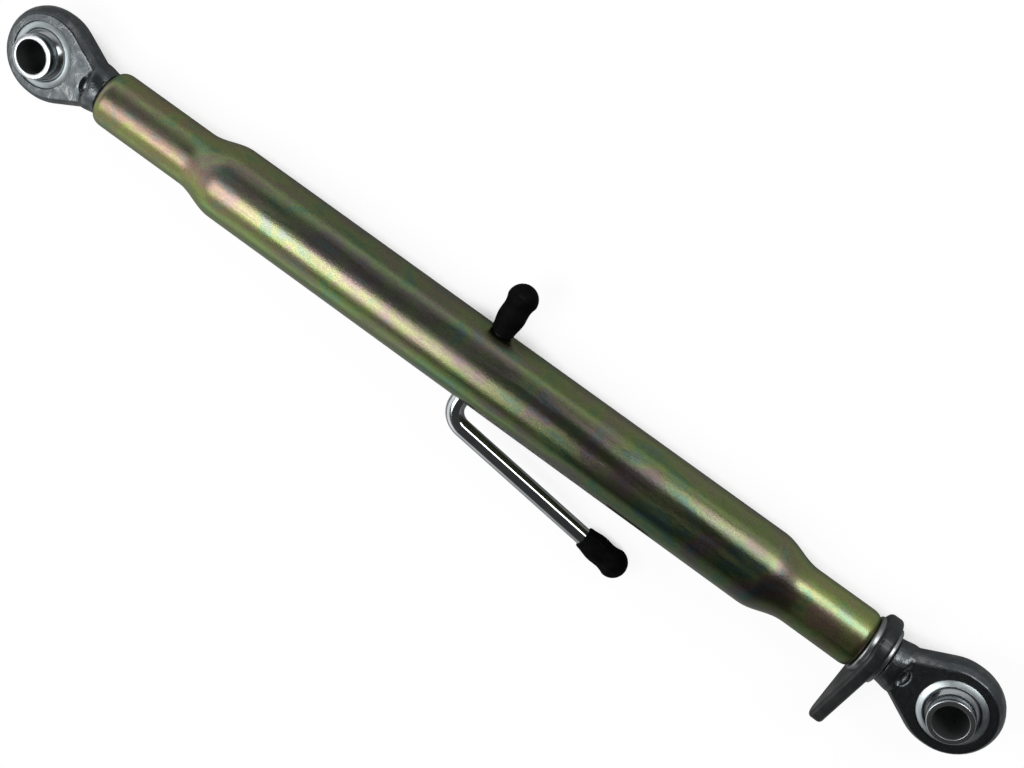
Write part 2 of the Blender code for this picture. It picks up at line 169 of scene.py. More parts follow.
# %% Room: bright walls under a dark ceiling
POLE = Vector((0.30, 0.10, 0.95)).normalized()
world = bpy.data.worlds.new("room")
bpy.context.scene.world = world
world.use_nodes = True
tree = world.node_tree
tree.nodes.clear()
direction = add_node(tree, "ShaderNodeTexCoord").outputs["Generated"]
sides = add_node(tree, "ShaderNodeSeparateXYZ", {0: direction})


def stepped(value, low, high, to_low, to_high):
    return add_node(tree, "ShaderNodeMapRange", {"Value": value, "From Min": low, "From Max": high,
                                                 "To Min": to_low, "To Max": to_high},
                    interpolation_type="SMOOTHSTEP").outputs["Result"]


height = add_node(tree, "ShaderNodeVectorMath", {0: direction, 1: POLE}, operation="DOT_PRODUCT").outputs["Value"]
ceiling = stepped(sides.outputs["X"], -0.35, 0.05, 0.14, 0.045)
far_wall = stepped(sides.outputs["X"], -0.22, 0.10, 1.0, 0.25)
near_wall = stepped(sides.outputs["Y"], -0.5, 0.3, 0.0, 1.0)
wall = add_node(tree, "ShaderNodeMath", {0: far_wall, 1: near_wall}, operation="MAXIMUM").outputs[0]
rise = stepped(height, 0.18, 0.50, 0.0, 1.0)
level = add_node(tree, "ShaderNodeMix", {0: rise, 2: wall, 3: ceiling}, data_type="FLOAT").outputs[0]
room = add_node(tree, "ShaderNodeBackground", {"Color": (1, 1, 1, 1), "Strength": level})
add_node(tree, "ShaderNodeOutputWorld", {"Surface": room.outputs[0]})
print("room: walls 1.0, down to 0.25 beyond the implement end, ceiling 0.14 down to 0.05")

# %% Two soft boxes


def soft_box(name, x_span, angle, distance, width, radiance):
    """Area lamp that faces the link's axis: its span along X, angle in degrees from straight up
    towards +Y, distance from the axis, width and radiance."""
    lamp = bpy.data.lights.new(name, "AREA")
    lamp.shape = "RECTANGLE"
    lamp.size, lamp.size_y = x_span[1] - x_span[0], width
    lamp.energy = radiance * math.pi * lamp.size * lamp.size_y
    holder = bpy.data.objects.new(name, lamp)
    turn = math.radians(angle)
    holder.location = AXIS + X * (sum(x_span) / 2) + (Y * math.sin(turn) + Z * math.cos(turn)) * distance
    holder.rotation_euler = (-turn, 0, 0)
    holder.visible_camera = False
    bpy.context.scene.collection.objects.link(holder)
    print(name, "at", [round(v, 2) for v in holder.location], "watts", round(lamp.energy, 1))


soft_box("soft_box_tractor", (-1.17, -0.16), -15, 1.6, 1.04, 4.3)
soft_box("soft_box_implement", (0.25, 1.25), 54, 1.4, 0.70, 4.6)

# %% [markdown]
# ## Helpers for pieces
# Each piece is one mesh at the origin. It rides on the body of the solid that it stands for.
# Faces are smooth, and edges sharper than a given angle stay crisp.

# %% Finish a piece and tie it to its solid


def finish_piece(bm, name, node_name, material, sharp=32):
    mesh = bpy.data.meshes.new(name)
    bm.to_mesh(mesh)
    bm.free()
    for polygon in mesh.polygons:
        polygon.use_smooth = True
    mesh.set_sharp_from_angle(angle=math.radians(sharp))
    mesh.materials.append(material)
    piece = bpy.data.objects.new(name, mesh)
    bpy.context.scene.collection.objects.link(piece)
    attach(piece, body_of_node[node_name])
    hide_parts(node_name)
    print(name, "faces:", len(mesh.polygons))
    return piece


# %% Spin a profile round an axis
TURN_STEPS = 128
SAME_POINT = 0.000002


def spun(profile, centre, axis, closed=True, steps=TURN_STEPS):
    """Turned shape from (place along the axis, radius) points, as a bmesh."""
    bm = bmesh.new()
    side = Z if abs(axis.dot(Z)) < 0.5 else X
    side = (side - axis * side.dot(axis)).normalized()
    points = [bm.verts.new(centre + axis * along + side * radius) for along, radius in profile]
    lines = [bm.edges.new(pair) for pair in zip(points, points[1:])]
    if closed:
        lines.append(bm.edges.new((points[-1], points[0])))
    bmesh.ops.spin(bm, geom=points + lines, cent=centre, axis=axis, angle=2 * math.pi,
                   steps=steps, use_merge=True, use_duplicate=False)
    bmesh.ops.remove_doubles(bm, verts=bm.verts, dist=SAME_POINT)
    bmesh.ops.recalc_face_normals(bm, faces=bm.faces)
    return bm


def rod(reach, radius, centre, axis, steps=TURN_STEPS):
    """Plain cylinder that reaches equally far to both sides of its centre."""
    return spun([(-reach, 0), (-reach, radius), (reach, radius), (reach, 0)], centre, axis, False, steps)


def arc(centre, radii, start, end, steps):
    """Points of a round or elliptical arc, angles in degrees, both ends included."""
    points = []
    for i in range(steps + 1):
        angle = math.radians(start + (end - start) * i / steps)
        points.append((centre[0] + radii[0] * math.sin(angle), centre[1] + radii[1] * math.cos(angle)))
    return points


# %% Cut or join with another shape


def combined(bm, other, operation, extra=()):
    """Boolean of two bmeshes, with further modifiers after it, as a new bmesh."""
    holders = []
    for shape in (bm, other):
        mesh = bpy.data.meshes.new("form")
        shape.to_mesh(mesh)
        shape.free()
        holders.append(bpy.data.objects.new("form", mesh))
        bpy.context.scene.collection.objects.link(holders[-1])
    boolean = holders[0].modifiers.new("boolean", "BOOLEAN")
    boolean.operation, boolean.solver, boolean.object = operation, "EXACT", holders[1]
    for kind, settings in extra:
        modifier = holders[0].modifiers.new(kind, kind)
        for key, value in settings.items():
            setattr(modifier, key, value)
    result = bmesh.new()
    result.from_object(holders[0], bpy.context.evaluated_depsgraph_get())
    bmesh.ops.remove_doubles(result, verts=result.verts, dist=SAME_POINT)
    bmesh.ops.dissolve_degenerate(result, edges=result.edges, dist=SAME_POINT)
    for holder in holders:
        mesh = holder.data
        bpy.data.objects.remove(holder)
        bpy.data.meshes.remove(mesh)
    return result


print("helpers ready, spinning with", TURN_STEPS, "steps")

# %% [markdown]
# ## Effects that several finishes share
# Three node groups: clouds and streaks as a plating bath leaves them, the fine rings that a
# lathe leaves, and the scuffs of handling. Each one only puts out masks.

# %% Node group helper


def new_group(name, sockets, results):
    group = bpy.data.node_groups.new(name, "ShaderNodeTree")
    group.interface.new_socket(name="Vector", in_out="INPUT", socket_type="NodeSocketVector")
    for label, value in sockets.items():
        socket = group.interface.new_socket(name=label, in_out="INPUT", socket_type="NodeSocketFloat")
        socket.default_value = value
    for label in results:
        group.interface.new_socket(name=label, in_out="OUTPUT", socket_type="NodeSocketFloat")
    return group, group.nodes.new("NodeGroupInput"), group.nodes.new("NodeGroupOutput")


# %% Plating clouds
plating, entry, leave = new_group("plating_clouds", {"Cloud Scale": 22, "Streak Scale": 90, "Grain Scale": 1400},
                                  ("Cloud", "Streak", "Grain"))
DRAWN_OUT = (0.13, 1, 1)
point = entry.outputs["Vector"]
cloud = add_node(plating, "ShaderNodeTexNoise", {"Vector": point, "Scale": entry.outputs["Cloud Scale"],
                                                 "Detail": 4, "Roughness": 0.55, "Distortion": 0.7})
drawn = add_node(plating, "ShaderNodeVectorMath", {0: point, 1: DRAWN_OUT}, operation="MULTIPLY")
streak = add_node(plating, "ShaderNodeTexNoise", {"Vector": drawn.outputs[0],
                                                  "Scale": entry.outputs["Streak Scale"],
                                                  "Detail": 3, "Roughness": 0.6, "Distortion": 0.3})
grain = add_node(plating, "ShaderNodeTexNoise", {"Vector": point, "Scale": entry.outputs["Grain Scale"],
                                                 "Detail": 2, "Roughness": 0.6})
for source, label in ((cloud, "Cloud"), (streak, "Streak"), (grain, "Grain")):
    plating.links.new(source.outputs["Fac"], leave.inputs[label])
print("plating_clouds:", [item.name for item in plating.interface.items_tree])

# %% Turned rings
rings, entry, leave = new_group("turned_rings", {"Ring Scale": 2200}, ("Rings", "Radius", "Depth"))
parts = add_node(rings, "ShaderNodeSeparateXYZ", {0: entry.outputs["Vector"]})
squares = [add_node(rings, "ShaderNodeMath", {0: parts.outputs[axis], 1: 2.0}, operation="POWER") for axis in "XY"]
total = add_node(rings, "ShaderNodeMath", {0: squares[0].outputs[0], 1: squares[1].outputs[0]}, operation="ADD")
radius = add_node(rings, "ShaderNodeMath", {0: total.outputs[0]}, operation="SQRT")
place = add_node(rings, "ShaderNodeMath", {0: radius.outputs[0], 1: parts.outputs["Z"]}, operation="ADD")
lines = add_node(rings, "ShaderNodeTexNoise", {"W": place.outputs[0], "Scale": entry.outputs["Ring Scale"],
                                               "Detail": 2, "Roughness": 0.7}, noise_dimensions="1D")
rings.links.new(lines.outputs["Fac"], leave.inputs["Rings"])
rings.links.new(radius.outputs[0], leave.inputs["Radius"])
depth = add_node(rings, "ShaderNodeMath", {0: parts.outputs["Z"]}, operation="ABSOLUTE")
rings.links.new(depth.outputs[0], leave.inputs["Depth"])
print("turned_rings:", [item.name for item in rings.interface.items_tree])

# %% Handling scuffs
scuffs, entry, leave = new_group("handling_scuffs", {"Scuff Scale": 60, "Scratch Scale": 260},
                                 ("Smudge", "Scratch"))
point = entry.outputs["Vector"]
smudge = add_node(scuffs, "ShaderNodeTexNoise", {"Vector": point, "Scale": entry.outputs["Scuff Scale"],
                                                 "Detail": 5, "Roughness": 0.65, "Distortion": 1.2})
slant = add_node(scuffs, "ShaderNodeMapping", {"Vector": point, "Rotation": (0.4, 0.3, 0.7),
                                               "Scale": (0.06, 1, 1)})
scratch = add_node(scuffs, "ShaderNodeTexNoise", {"Vector": slant.outputs[0],
                                                  "Scale": entry.outputs["Scratch Scale"], "Detail": 1})
thin = add_node(scuffs, "ShaderNodeMapRange", {"Value": scratch.outputs["Fac"], "From Min": 0.66,
                                               "From Max": 0.72})
scuffs.links.new(smudge.outputs["Fac"], leave.inputs["Smudge"])
scuffs.links.new(thin.outputs["Result"], leave.inputs["Scratch"])
print("handling_scuffs:", [item.name for item in scuffs.interface.items_tree])

# %% Material helpers


def new_finish(name, metallic, centre=(0, 0, 0), rotation=(0, 0, 0)):
    """Material with its shader and a mapping that puts the piece's centre at the origin."""
    material = bpy.data.materials.new(name)
    material.use_nodes = True
    tree = material.node_tree
    shader = tree.nodes["Principled BSDF"]
    shader.inputs["Metallic"].default_value = metallic
    coords = add_node(tree, "ShaderNodeTexCoord")
    shift = add_node(tree, "ShaderNodeVectorMath", {0: coords.outputs["Object"], 1: tuple(centre)},
                     operation="SUBTRACT")
    turned = add_node(tree, "ShaderNodeMapping", {"Vector": shift.outputs[0], "Rotation": rotation})
    return material, tree, shader, turned.outputs[0]


def use_group(tree, group, vector, **values):
    made = add_node(tree, "ShaderNodeGroup", node_tree=group)
    tree.links.new(vector, made.inputs["Vector"])
    for label, value in values.items():
        made.inputs[label.replace("_", " ")].default_value = value
    return made.outputs


def colour_ramp(tree, factor, stops):
    ramp = add_node(tree, "ShaderNodeValToRGB", {"Fac": factor})
    elements = ramp.color_ramp.elements
    while len(elements) < len(stops):
        elements.new(0.5)
    for element, (position, colour) in zip(elements, stops):
        element.position = position
        element.color = (*colour, 1)
    return ramp.outputs["Color"]


def mixed(tree, factor, first, second, blend="MIX"):
    made = add_node(tree, "ShaderNodeMix", data_type="RGBA", blend_type=blend)
    for index, value in ((0, factor), (6, first), (7, second)):
        if isinstance(value, bpy.types.NodeSocket):
            tree.links.new(value, made.inputs[index])
        else:
            made.inputs[index].default_value = value
    return made.outputs[2]


def remap(tree, value, low, high, to_low, to_high):
    made = add_node(tree, "ShaderNodeMapRange", {"Value": value, "From Min": low, "From Max": high,
                                                 "To Min": to_low, "To Max": to_high})
    return made.outputs["Result"]


def calc(tree, first, second, operation="MULTIPLY"):
    return add_node(tree, "ShaderNodeMath", {0: first, 1: second}, operation=operation).outputs[0]


def scratched(tree, shader, worn, amount, tone, bare):
    """Base colour with scratches that show a given share of the bare tone."""
    marks = calc(tree, worn["Scratch"], amount)
    tree.links.new(mixed(tree, marks, tone, (*bare, 1)), shader.inputs["Base Color"])


def bumped(tree, shader, height, distance, strength):
    bump = add_node(tree, "ShaderNodeBump", {"Height": height, "Distance": distance, "Strength": strength})
    tree.links.new(bump.outputs["Normal"], shader.inputs["Normal"])


# %% [markdown]
# ## Yellow zinc
# The barrel is plated and then passivated. The thin film shows as drifting olive, yellow-green,
# cream, pink and blue-grey, drawn out along the tube as it was dipped. A colour ramp over two
# mixed noises gives the drift. Two more ramps run once round the tube, a creamy one for the
# tractor half and an olive one for the other. Besides film colours they carry painted light and
# shade: they are bright where the soft boxes' highlights fall and dark in the bands beside them.
# Both start and end plain at its underside, so that no seam shows. Towards the necks the film is
# yellower and brighter. A fine grain keeps the highlight from looking like glass.

# %% Yellow zinc material
yellow_zinc, tree, shader, vector = new_finish("yellow_zinc", 1.0, AXIS)
masks = use_group(tree, plating, vector, Cloud_Scale=34, Streak_Scale=110, Grain_Scale=950)
around = add_node(tree, "ShaderNodeSeparateXYZ", {0: vector})
place = around.outputs["X"]
turned = add_node(tree, "ShaderNodeMath", {0: around.outputs["Y"], 1: around.outputs["Z"]},
                  operation="ARCTAN2").outputs[0]
STREAK_SHARE = 0.35
drift = add_node(tree, "ShaderNodeMix", {0: STREAK_SHARE, 2: masks["Cloud"], 3: masks["Streak"]},
                 data_type="FLOAT").outputs[0]
film = colour_ramp(tree, drift, (
    (0.36, (0.085, 0.180, 0.185)), (0.42, (0.075, 0.205, 0.070)), (0.47, (0.190, 0.235, 0.035)),
    (0.52, (0.170, 0.165, 0.080)), (0.57, (0.210, 0.110, 0.115)), (0.62, (0.105, 0.130, 0.170)),
    (0.68, (0.080, 0.195, 0.105))))

WANDER, MEAN_WANDER = 0.5, 0.25
SEAM = math.radians(180)
PLAIN = (0.165, 0.185, 0.100)
phase = calc(tree, calc(tree, drift, WANDER), turned, "ADD")
girth = remap(tree, phase, MEAN_WANDER - SEAM, MEAN_WANDER + SEAM, 0, 1)
# The stops of these two ramps are partly painted highlight and painted shade: the cream one is brightest where the
# tractor soft box reflects, with a dark line below it, and the olive one is dark below the implement soft box's
# highlight and bright above it.
cream = colour_ramp(tree, girth, (
    (0.270, PLAIN), (0.404, (0.220, 0.325, 0.155)), (0.439, (0.125, 0.185, 0.080)),
    (0.482, (0.190, 0.215, 0.100)), (0.503, (0.235, 0.200, 0.165)), (0.538, (0.220, 0.175, 0.165)),
    (0.566, (0.205, 0.230, 0.210)), (0.636, (0.112, 0.145, 0.130)), (0.719, (0.215, 0.250, 0.135)),
    (0.806, PLAIN)))
olive = colour_ramp(tree, girth, (
    (0.270, PLAIN), (0.404, (0.055, 0.100, 0.090)), (0.457, (0.058, 0.088, 0.075)),
    (0.499, (0.070, 0.075, 0.080)), (0.558, (0.120, 0.110, 0.105)), (0.594, (0.128, 0.152, 0.152)),
    (0.625, (0.180, 0.165, 0.125)), (0.657, (0.165, 0.230, 0.110)), (0.727, (0.360, 0.410, 0.200)),
    (0.806, PLAIN)))
HALVES_MEET = (-0.06, 0.12)
film_and_light_band = mixed(tree, remap(tree, place, *HALVES_MEET, 0, 1), cream, olive)

TRACTOR_FADE, IMPLEMENT_FADE = (-0.15, -0.26), (0.24, 0.29)
BAND_SHARE = 0.58
ends = calc(tree, remap(tree, place, *TRACTOR_FADE, 0, 1), remap(tree, place, *IMPLEMENT_FADE, 0, 1), "MAXIMUM")
film = mixed(tree, ends, film, (1.08, 1.00, 0.52, 1), "MULTIPLY")
film = mixed(tree, BAND_SHARE, film, film_and_light_band)
film = mixed(tree, ends, film, (1.34, 1.30, 1.28, 1), "MULTIPLY")
fine = mixed(tree, remap(tree, masks["Grain"], 0.30, 0.70, 0, 1), (0.78, 0.78, 0.80, 1), (1.22, 1.22, 1.18, 1))
tree.links.new(mixed(tree, 1.0, film, fine, "MULTIPLY"), shader.inputs["Base Color"])
rough = calc(tree, remap(tree, masks["Streak"], 0.35, 0.65, 0.20, 0.32), calc(tree, ends, 0.10), "ADD")
tree.links.new(rough, shader.inputs["Roughness"])
shader.inputs["Coat Weight"].default_value = 0.15
shader.inputs["Coat Roughness"].default_value = 0.3
bumped(tree, shader, masks["Grain"], 0.00016, 0.5)
print("yellow_zinc nodes:", len(tree.nodes))

# %% [markdown]
# ## Zinc on the forging, bright zinc, turned and polished steel
# The forged eyes are blasted and plated, so they are grey and a little rough. The threaded
# bars and the nut are turned and plated, the race is turned bare steel and the ball is ground.
# The ball's end faces are brighter than its round. Its bore is rougher, and darker as painted shade.

# %% Forged zinc material
forged_zinc, tree, shader, vector = new_finish("forged_zinc", 1.0)
masks = use_group(tree, plating, vector, Cloud_Scale=120, Streak_Scale=160, Grain_Scale=900)
skin = colour_ramp(tree, masks["Cloud"], ((0.34, (0.085, 0.096, 0.104)), (0.50, (0.105, 0.116, 0.122)),
                                          (0.60, (0.132, 0.142, 0.146)), (0.70, (0.205, 0.212, 0.214))))
tree.links.new(skin, shader.inputs["Base Color"])
tree.links.new(remap(tree, masks["Cloud"], 0.35, 0.65, 0.38, 0.24), shader.inputs["Roughness"])
peened = calc(tree, calc(tree, masks["Cloud"], 2.5), masks["Grain"], "ADD")
bumped(tree, shader, peened, 0.00022, 0.6)
print("forged_zinc nodes:", len(tree.nodes))


# %% Turned steels


def turned_finish(name, centre, rotation, dark, light, rough, ring_scale=2600, depth=0.00002):
    material, tree, shader, vector = new_finish(name, 1.0, centre, rotation)
    lathe = use_group(tree, rings, vector, Ring_Scale=ring_scale)
    worn = use_group(tree, scuffs, vector)
    tone = mixed(tree, remap(tree, lathe["Rings"], 0.3, 0.7, 0, 1), (*dark, 1), (*light, 1))
    scratched(tree, shader, worn, 0.35, tone, light)
    tree.links.new(remap(tree, worn["Smudge"], 0.35, 0.65, *rough), shader.inputs["Roughness"])
    bumped(tree, shader, lathe["Rings"], depth, 0.6)
    print(name, "nodes:", len(tree.nodes))
    return material, tree, shader, lathe


ALONG_X, ALONG_Z = (0, math.pi / 2, 0), (0, 0, 0)
BORE_FADE, FACE_FADE = (0.0128, 0.0133), (0.0244, 0.0248)
machined, polished = {}, {}
for side, centre in ball_centre.items():
    machined[side] = turned_finish("machined_steel", centre, ALONG_Z, (0.50, 0.56, 0.58), (0.66, 0.72, 0.74),
                                   (0.34, 0.46))[0]
    polished[side], tree, shader, lathe = turned_finish("polished_steel", centre, ALONG_Z, (0.26, 0.28, 0.30),
                                                        (0.36, 0.37, 0.38), (0.14, 0.22), 3200, 0.000006)
    inside = remap(tree, lathe["Radius"], *BORE_FADE, 1, 0)
    faced = remap(tree, lathe["Depth"], *FACE_FADE, 0, 1)
    # The end faces get a brighter steel. The bore gets a rougher finish and a darker tone, which is painted shade
    # in the bore.
    for mask, tone, rough in ((faced, 0.58, 0.22), (inside, 0.22, 0.55)):
        for label, value in (("Base Color", (tone, tone * 1.03, tone * 1.06, 1)),
                             ("Roughness", (rough, rough, rough, 1))):
            outer = shader.inputs[label].links[0].from_socket
            tree.links.new(mixed(tree, mask, outer, value), shader.inputs[label])
bright_zinc = turned_finish("bright_zinc", AXIS, ALONG_X, (0.26, 0.27, 0.28), (0.36, 0.37, 0.38), (0.24, 0.36))[0]

# %% [markdown]
# ## Black iron, chrome and rubber
# The lock lever is dark and half matt. The handle bar is chromed, nearly a mirror. Its stub, from
# the barrel wall out into the grip, is darker and rougher as painted shade where it leaves the
# barrel. The grips are soft black rubber with a faint mould grain.

# %% Black iron material
black_iron, tree, shader, vector = new_finish("black_iron", 0.0)
masks = use_group(tree, plating, vector, Cloud_Scale=70, Streak_Scale=200, Grain_Scale=1200)
worn = use_group(tree, scuffs, vector)
paint = colour_ramp(tree, masks["Cloud"], ((0.35, (0.008, 0.010, 0.011)), (0.65, (0.020, 0.024, 0.025))))
scratched(tree, shader, worn, 0.5, paint, (0.09, 0.10, 0.10))
tree.links.new(remap(tree, worn["Smudge"], 0.35, 0.65, 0.24, 0.40), shader.inputs["Roughness"])
shader.inputs["Specular IOR Level"].default_value = 0.35
bumped(tree, shader, masks["Grain"], 0.00010, 0.5)
print("black_iron nodes:", len(tree.nodes))

# %% Chrome material
chrome_bar, tree, shader, vector = new_finish("chrome_bar", 1.0)
masks = use_group(tree, plating, vector, Cloud_Scale=80, Streak_Scale=300, Grain_Scale=1800)
worn = use_group(tree, scuffs, vector, Scratch_Scale=420)
plate = colour_ramp(tree, masks["Cloud"], ((0.35, (0.56, 0.60, 0.62)), (0.65, (0.68, 0.70, 0.71))))
plate = mixed(tree, calc(tree, worn["Scratch"], 0.4), plate, (0.5, 0.5, 0.5, 1))
# Painted shade: beyond the barrel's bore the stub side of the bar is darkened and roughened, where it leaves the
# barrel.
across = add_node(tree, "ShaderNodeSeparateXYZ", {0: vector}).outputs["Y"]
STUB_SHADE_FADE = 0.02
stub_painted_shade = remap(tree, across, AXIS.y, AXIS.y + STUB_SHADE_FADE, 0, 1)
tree.links.new(mixed(tree, stub_painted_shade, plate, (0.020, 0.021, 0.022, 1)), shader.inputs["Base Color"])
shine = remap(tree, worn["Smudge"], 0.35, 0.7, 0.07, 0.15)
tree.links.new(calc(tree, shine, calc(tree, stub_painted_shade, 0.45), "ADD"), shader.inputs["Roughness"])
bumped(tree, shader, masks["Grain"], 0.00001, 0.3)
print("chrome_bar nodes:", len(tree.nodes))

# %% Rubber material
black_rubber, tree, shader, vector = new_finish("black_rubber", 0.0)
masks = use_group(tree, plating, vector, Cloud_Scale=110, Streak_Scale=300, Grain_Scale=2200)
worn = use_group(tree, scuffs, vector, Scuff_Scale=120)
soft = colour_ramp(tree, masks["Cloud"], ((0.35, (0.0030, 0.0031, 0.0032)), (0.65, (0.0055, 0.0056, 0.0058))))
scratched(tree, shader, worn, 0.3, soft, (0.02, 0.02, 0.02))
tree.links.new(remap(tree, worn["Smudge"], 0.35, 0.65, 0.50, 0.66), shader.inputs["Roughness"])
shader.inputs["Specular IOR Level"].default_value = 0.02
bumped(tree, shader, masks["Grain"], 0.00010, 0.4)
print("black_rubber nodes:", len(tree.nodes))

# %% [markdown]
# ## Barrel
# The tube is swaged down to a neck at each end. Spinning its section keeps the tapers smooth.
# The swing handle passes through one cross hole, which is cut afterwards.

# %% Barrel piece
NECK, BORE, BORE_BREAK = 0.0225, 0.0183, 0.0005
TUBE = (rim_high.z - rim_low.z) / 2
TRACTOR_NECK, IMPLEMENT_NECK, TAPER = 0.082, 0.054, 0.034
LIP_IN, LIP_RUN = 0.0036, 0.007
BAR, BAR_CLEARANCE, HOLE_REACH = 0.007, 0.0003, 0.04
handle_place = middle("short_grip").x * X + AXIS


def swage(start, end, steps=18):
    """Soft S between two (place, radius) points, both left out."""
    points = []
    for i in range(1, steps):
        share = i / steps
        ease = (1 - math.cos(math.pi * share)) / 2
        points.append((start[0] + (end[0] - start[0]) * share, start[1] + (end[1] - start[1]) * ease))
    return points


low_neck, low_tube = (TRACTOR_NECK, NECK), (TRACTOR_NECK + TAPER, TUBE)
high_tube, high_neck = (barrel_length - IMPLEMENT_NECK - TAPER, TUBE), (barrel_length - IMPLEMENT_NECK, NECK)
section = arc((LIP_RUN, NECK - LIP_IN), (-LIP_RUN, LIP_IN), 90, 0, 10)
section += [low_neck, *swage(low_neck, low_tube), low_tube, high_tube, *swage(high_tube, high_neck), high_neck]
section += arc((barrel_length - LIP_RUN, NECK - LIP_IN), (LIP_RUN, LIP_IN), 0, 90, 10)
section += [(barrel_length - BORE_BREAK, BORE), (BORE_BREAK, BORE)]
barrel = spun(section, Vector((rim_low.x, AXIS.y, AXIS.z)), X)
hole = rod(HOLE_REACH, BAR + BAR_CLEARANCE, handle_place, Y, steps=64)
barrel = combined(barrel, hole, "DIFFERENCE")
finish_piece(barrel, "swaged_barrel", "barrel_tube", yellow_zinc, 35)

# %% [markdown]
# ## Forged eyes
# An eye comes out of a die: its flanks lean, its neck is scooped, and no edge is sharp. The
# solid's form is filled, rebuilt on a fine voxel grid and smoothed, which rounds every edge as a
# forging has it. The seat of the race is cut after that and stays crisp.

# %% Eye pieces
SEAT, EYE_HALF, PLUG_OVERLAP = 0.0251, 0.0115, 0.0006
SEAT_HALF, CUT_HALF, CUT_MOUTH = 0.0112, 0.016, 0.030
VOXEL, ROUNDING = 0.0006, 8
for side, centre in ball_centre.items():
    form = bmesh.new()
    form.from_mesh(frame["nodes"][f"{side}_eye"].data)
    bmesh.ops.remove_doubles(form, verts=form.verts, dist=0.00001)
    plug = rod(EYE_HALF, SEAT + PLUG_OVERLAP, centre, Z)
    form = combined(form, plug, "UNION", (
        ("REMESH", {"mode": "VOXEL", "voxel_size": VOXEL}), ("SMOOTH", {"factor": 0.5, "iterations": ROUNDING})))
    seat = spun([(-CUT_HALF, 0), (-CUT_HALF, CUT_MOUTH), (-SEAT_HALF, SEAT), (SEAT_HALF, SEAT),
                 (CUT_HALF, CUT_MOUTH), (CUT_HALF, 0)], centre, Z, closed=False)
    finish_piece(combined(form, seat, "DIFFERENCE"), f"{side}_forged_eye", f"{side}_eye", forged_zinc, 40)

# %% [markdown]
# ## Race and ball
# The split race grips the ball above and below its middle. The ball is longer than the eye is
# wide, and its collars carry the bright end faces that the linkage pin passes.

# %% Race pieces
RACE_OUTER, RACE_RIM, RACE_LIP, RACE_EDGE, RACE_BREAK = 0.0249, 0.011, 0.0012, 0.0008, 0.0003
BALL, RUNNING_GAP, SPLIT, SPLIT_ANGLE = 0.0226, 0.0003, 0.00015, 0.4
seat_radius, top = BALL + RUNNING_GAP, RACE_RIM + RACE_LIP
mouth = math.sqrt(seat_radius ** 2 - (top - RACE_EDGE) ** 2)
steepest = math.degrees(math.asin((top - RACE_EDGE) / seat_radius))
race_section = arc((0, 0), (seat_radius, seat_radius), SPLIT_ANGLE, steepest, 14)
race_section += [(top, mouth + RACE_EDGE), (RACE_RIM, RACE_OUTER - RACE_BREAK),
                 (RACE_RIM - RACE_BREAK, RACE_OUTER), (SPLIT, RACE_OUTER)]
for side, centre in ball_centre.items():
    for part, axis in (("upper", Z), ("lower", -Z)):
        finish_piece(spun(race_section, centre, axis), f"{side}_race_ring_{part}", f"{side}_race_{part}",
                     machined[side])

# %% Ball pieces
COLLAR, BALL_HALF, PIN_BORE, BALL_EDGE = 0.01675, 0.0255, 0.01275, 0.0006
CROWN, SLOPE = 0.0008, 0.00016
shoulder = math.degrees(math.acos(COLLAR / BALL))
ball_section = arc((-BALL_HALF + CROWN + SLOPE, COLLAR - CROWN), (CROWN, CROWN), -90, 0, 6)
ball_section += arc((0, 0), (BALL, BALL), -shoulder, shoulder, 36)
ball_section += arc((BALL_HALF - CROWN - SLOPE, COLLAR - CROWN), (CROWN, CROWN), 0, 90, 6)
ball_section += arc((BALL_HALF - BALL_EDGE, PIN_BORE + BALL_EDGE), (BALL_EDGE, -BALL_EDGE), 90, 0, 5)
ball_section += arc((-BALL_HALF + BALL_EDGE, PIN_BORE + BALL_EDGE), (BALL_EDGE, -BALL_EDGE), 0, -90, 5)
for side, centre in ball_centre.items():
    finish_piece(spun(ball_section, centre, Z), f"{side}_captive_ball", f"{side}_ball", polished[side])

# %% [markdown]
# ## Threaded bars
# A turn of the thread is a tooth that climbs one pitch. A comb of teeth is spun once round while
# it moves on by one pitch, so each tooth ends where the next begins. One end is right-handed and
# the other left-handed, which is what lets the barrel move both ends at once.

